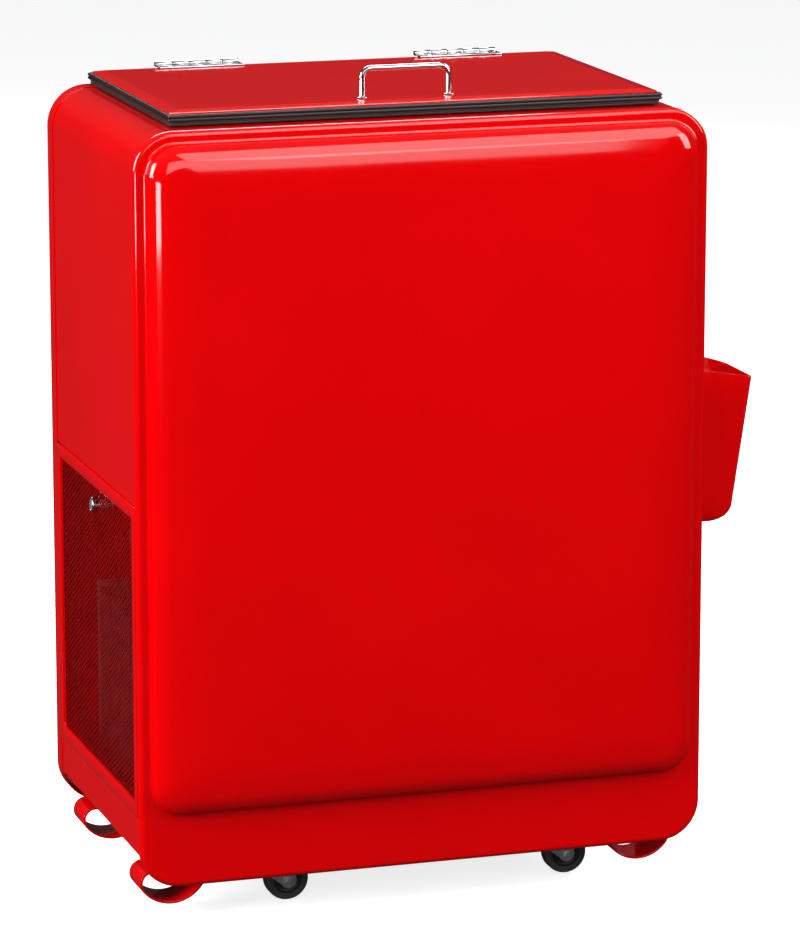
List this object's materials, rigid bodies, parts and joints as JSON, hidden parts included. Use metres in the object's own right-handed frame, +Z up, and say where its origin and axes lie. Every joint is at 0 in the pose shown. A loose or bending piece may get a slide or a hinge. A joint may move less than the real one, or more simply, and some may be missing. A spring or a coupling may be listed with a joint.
{
  "type": "chest cooler on casters",
  "caption": "Upright enamelled chest cooler with a hinged insulated lid over a deep tub, a tilting lockable mesh service panel, a side cap bin and swivel casters.",
  "frame": {"origin": "on the floor, under the middle of the whole object's bounding box", "axes": "+Z up; +X to the right of someone who faces the front; +Y towards the back, where the lid's hinges are"},
  "size_m": [0.75, 0.429, 0.9673],
  "materials": {
    "enamel_red": "gloss enamel",
    "mesh_red": "gloss enamel on expanded mesh",
    "trim_black": "satin moulded",
    "seal_rubber": "matt extruded",
    "chrome_hardware": "polished plate",
    "zinc_steel": "bright zinc plate",
    "galvanised_steel": "galvanised, satin",
    "liner_white": "smooth moulded",
    "pipe_plastic": "smooth",
    "insulation_foam": "skinned foam",
    "compressor_black": "semi-gloss paint",
    "motor_black": "satin paint",
    "fin_aluminium": "mill finish",
    "tyre_rubber": "moulded, faintly ribbed"
  },
  "bodies": {
    "case": {"front_panel": "enamel_red", "rear_panel": "enamel_red", "body_wrapper": "enamel_red", "left_sill_panel": "enamel_red", "base_pan": "galvanised_steel", "inner_liner": "liner_white", "insulation": "insulation_foam", "throat_frame": "trim_black", "drain_plug": "seal_rubber", "drain_pipe": "pipe_plastic", "compressor": "compressor_black", "condenser": "fin_aluminium", "fan_shroud": "galvanised_steel", "fan_motor": "motor_black", "control_box": "galvanised_steel", "cord_gland": "trim_black", "cap_bin": "enamel_red", "bottle_opener": "zinc_steel", "left_hinge_body_leaf": "chrome_hardware", "right_hinge_body_leaf": "chrome_hardware", "front_left_foot": "enamel_red", "front_left_plate": "zinc_steel", "front_right_foot": "enamel_red", "front_right_plate": "zinc_steel", "rear_left_foot": "enamel_red", "rear_left_plate": "zinc_steel", "rear_right_foot": "enamel_red", "rear_right_plate": "zinc_steel"},
    "lid": {"lid_shell": "enamel_red", "lid_frame": "trim_black", "lid_liner": "liner_white", "lid_gasket": "seal_rubber", "lid_handle": "chrome_hardware", "left_hinge_lid_leaf": "chrome_hardware", "right_hinge_lid_leaf": "chrome_hardware", "left_hinge_pin": "chrome_hardware", "right_hinge_pin": "chrome_hardware"},
    "vent_panel": {"vent_frame": "enamel_red", "vent_mesh": "mesh_red", "lock_housing": "chrome_hardware"},
    "lock": {"lock_cylinder": "zinc_steel", "lock_cam": "zinc_steel"},
    "fan": {"fan_rotor": "trim_black"},
    "knob": {"thermostat_knob": "trim_black"},
    "front_left_caster": {"front_left_fork": "zinc_steel", "front_left_axle_bolt": "zinc_steel"},
    "front_left_wheel": {"front_left_wheel_hub": "trim_black", "front_left_tyre": "tyre_rubber"},
    "front_right_caster": {"front_right_fork": "zinc_steel", "front_right_axle_bolt": "zinc_steel"},
    "front_right_wheel": {"front_right_wheel_hub": "trim_black", "front_right_tyre": "tyre_rubber"},
    "rear_left_caster": {"rear_left_fork": "zinc_steel", "rear_left_axle_bolt": "zinc_steel"},
    "rear_left_wheel": {"rear_left_wheel_hub": "trim_black", "rear_left_tyre": "tyre_rubber"},
    "rear_right_caster": {"rear_right_fork": "zinc_steel", "rear_right_axle_bolt": "zinc_steel"},
    "rear_right_wheel": {"rear_right_wheel_hub": "trim_black", "rear_right_tyre": "tyre_rubber"}
  },
  "joints": [
    {"name": "lid_hinge", "type": "hinge", "parent": "case", "child": "lid", "pos_m": [-0.0365, 0.203, 0.933], "axis": [-1, 0, 0], "range_deg": [0, 95]},
    {"name": "vent_tilt", "type": "hinge", "parent": "case", "child": "vent_panel", "pos_m": [-0.3733, 0.0075, 0.1349], "axis": [0, -1, 0], "range_deg": [0, 75]},
    {"name": "lock_turn", "type": "hinge", "parent": "vent_panel", "child": "lock", "pos_m": [-0.3665, 0.0075, 0.4575], "axis": [1, 0, 0], "range_deg": [0, 90]},
    {"name": "fan_spin", "type": "hinge", "parent": "case", "child": "fan", "pos_m": [-0.2685, 0.0075, 0.195], "axis": [1, 0, 0], "continuous": true},
    {"name": "knob_turn", "type": "hinge", "parent": "case", "child": "knob", "pos_m": [-0.3415, -0.0955, 0.44], "axis": [-1, 0, 0], "range_deg": [0, 270]},
    {"name": "front_left_swivel", "type": "hinge", "parent": "case", "child": "front_left_caster", "pos_m": [-0.2068, -0.098, 0.055], "axis": [0, 0, 1], "continuous": true},
    {"name": "front_left_roll", "type": "hinge", "parent": "front_left_caster", "child": "front_left_wheel", "pos_m": [-0.1763, -0.098, 0.0254], "axis": [0, 1, 0], "continuous": true},
    {"name": "front_right_swivel", "type": "hinge", "parent": "case", "child": "front_right_caster", "pos_m": [0.1338, -0.098, 0.055], "axis": [0, 0, 1], "continuous": true},
    {"name": "front_right_roll", "type": "hinge", "parent": "front_right_caster", "child": "front_right_wheel", "pos_m": [0.1643, -0.098, 0.0254], "axis": [0, 1, 0], "continuous": true},
    {"name": "rear_left_swivel", "type": "hinge", "parent": "case", "child": "rear_left_caster", "pos_m": [-0.2068, 0.113, 0.055], "axis": [0, 0, 1], "continuous": true},
    {"name": "rear_left_roll", "type": "hinge", "parent": "rear_left_caster", "child": "rear_left_wheel", "pos_m": [-0.1763, 0.113, 0.0254], "axis": [0, 1, 0], "continuous": true},
    {"name": "rear_right_swivel", "type": "hinge", "parent": "case", "child": "rear_right_caster", "pos_m": [0.1338, 0.113, 0.055], "axis": [0, 0, 1], "continuous": true},
    {"name": "rear_right_roll", "type": "hinge", "parent": "rear_right_caster", "child": "rear_right_wheel", "pos_m": [0.1643, 0.113, 0.0254], "axis": [0, 1, 0], "continuous": true}
  ]
}
